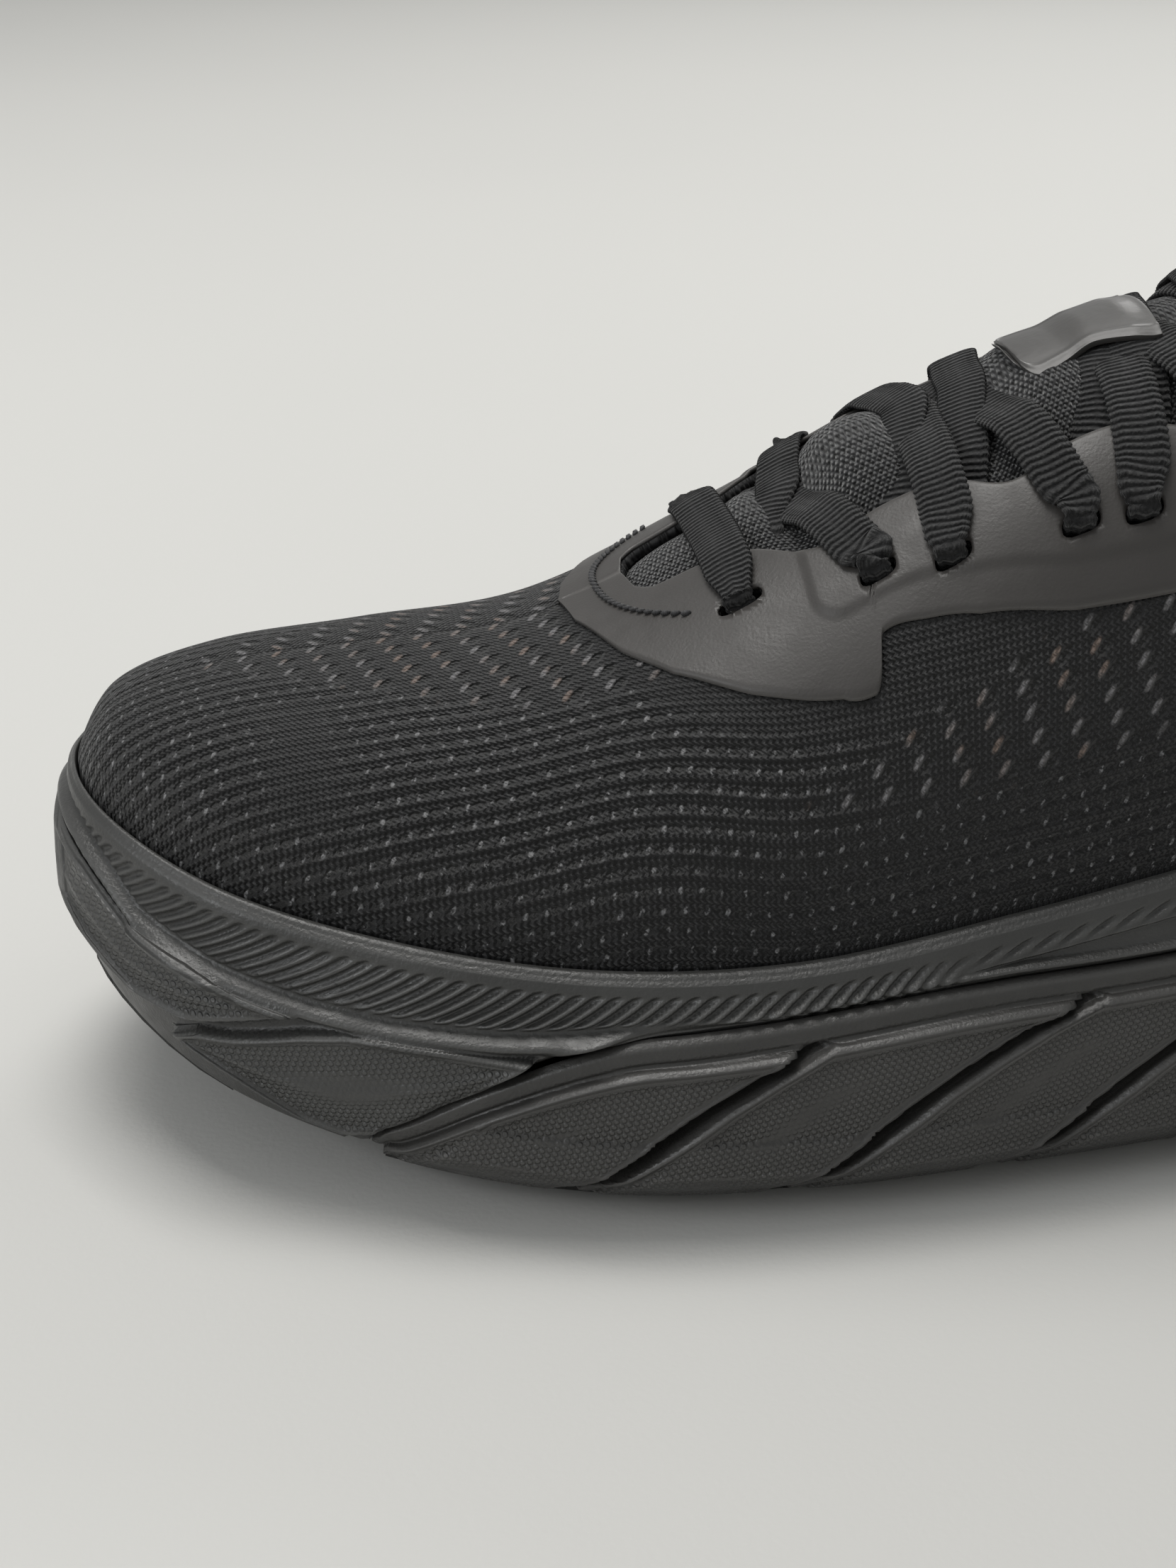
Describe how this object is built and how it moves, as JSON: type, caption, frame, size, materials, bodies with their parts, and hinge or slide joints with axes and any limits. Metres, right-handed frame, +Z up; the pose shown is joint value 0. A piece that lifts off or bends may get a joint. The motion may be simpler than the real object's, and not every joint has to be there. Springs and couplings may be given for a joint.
{
  "type": "running shoe",
  "caption": "Left low-cut running shoe: knitted upper with a film eyestay, laced and tied, on a thick two-piece foam midsole with slanted side blocks.",
  "frame": {"origin": "middle of the footprint box of the sole, on the ground", "axes": "toe towards -X, outer (lateral) side towards -Y, +Z up"},
  "size_m": [0.3, 0.1076, 0.1492],
  "materials": {
    "foam_upper": "matte foam",
    "foam_lower": "satin foam",
    "rubber": "matte",
    "board": "felted",
    "sockliner_foam": "matte foam",
    "lining_cloth": "brushed knit",
    "knit": "ribbed engineered knit",
    "film": "satin film",
    "webbing": "woven tape",
    "stiffener": "matte",
    "padding": "foam",
    "tongue_mesh": "padded mesh",
    "keeper": "glossy",
    "lace": "flat woven",
    "aglet": "glossy"
  },
  "bodies": {
    "shoe": {"midsole_carrier": "foam_upper", "midsole_blocks": "foam_lower", "outsole_toe": "rubber", "outsole_fore_lateral": "rubber", "outsole_fore_medial": "rubber", "outsole_ball_lateral": "rubber", "outsole_ball_medial": "rubber", "outsole_mid_lateral": "rubber", "outsole_heel_lateral": "rubber", "outsole_heel_medial": "rubber", "strobel_board": "board", "upper_knit": "knit", "eyestay_film": "film", "eyelet_tape_lateral": "webbing", "eyelet_tape_medial": "webbing", "toe_puff": "stiffener", "heel_counter": "stiffener", "collar_foam": "padding", "collar_lining": "lining_cloth", "heel_film": "film", "tongue_base": "tongue_mesh", "tongue_keeper": "keeper", "lace": "lace", "lace_knot": "lace", "lace_loop_lateral": "lace", "lace_loop_medial": "lace", "lace_end_lateral": "lace", "lace_end_medial": "lace", "aglet_lateral": "aglet", "aglet_medial": "aglet"},
    "sockliner": {"sockliner_foam": "sockliner_foam", "sockliner_cover": "lining_cloth"},
    "tongue_flap": {"tongue_top": "tongue_mesh"},
    "pull_tab": {"heel_pull_tab": "webbing"}
  },
  "joints": [
    {"name": "sockliner_lift", "type": "hinge", "parent": "shoe", "child": "sockliner", "pos_m": [-0.1428, 0.009, 0.041], "axis": [0, -1, 0], "range_deg": [0, 6]},
    {"name": "tongue_fold", "type": "hinge", "parent": "shoe", "child": "tongue_flap", "pos_m": [0.0421, 0.0019, 0.1275], "axis": [0, -1, 0], "range_deg": [-5, 35], "stiffness_Nm_per_rad": 0.05},
    {"name": "pull_tab_fold", "type": "hinge", "parent": "shoe", "child": "pull_tab", "pos_m": [0.14044, 0.00075, 0.13665], "axis": [0, 1, 0], "range_deg": [-30, 60], "stiffness_Nm_per_rad": 0.02}
  ]
}
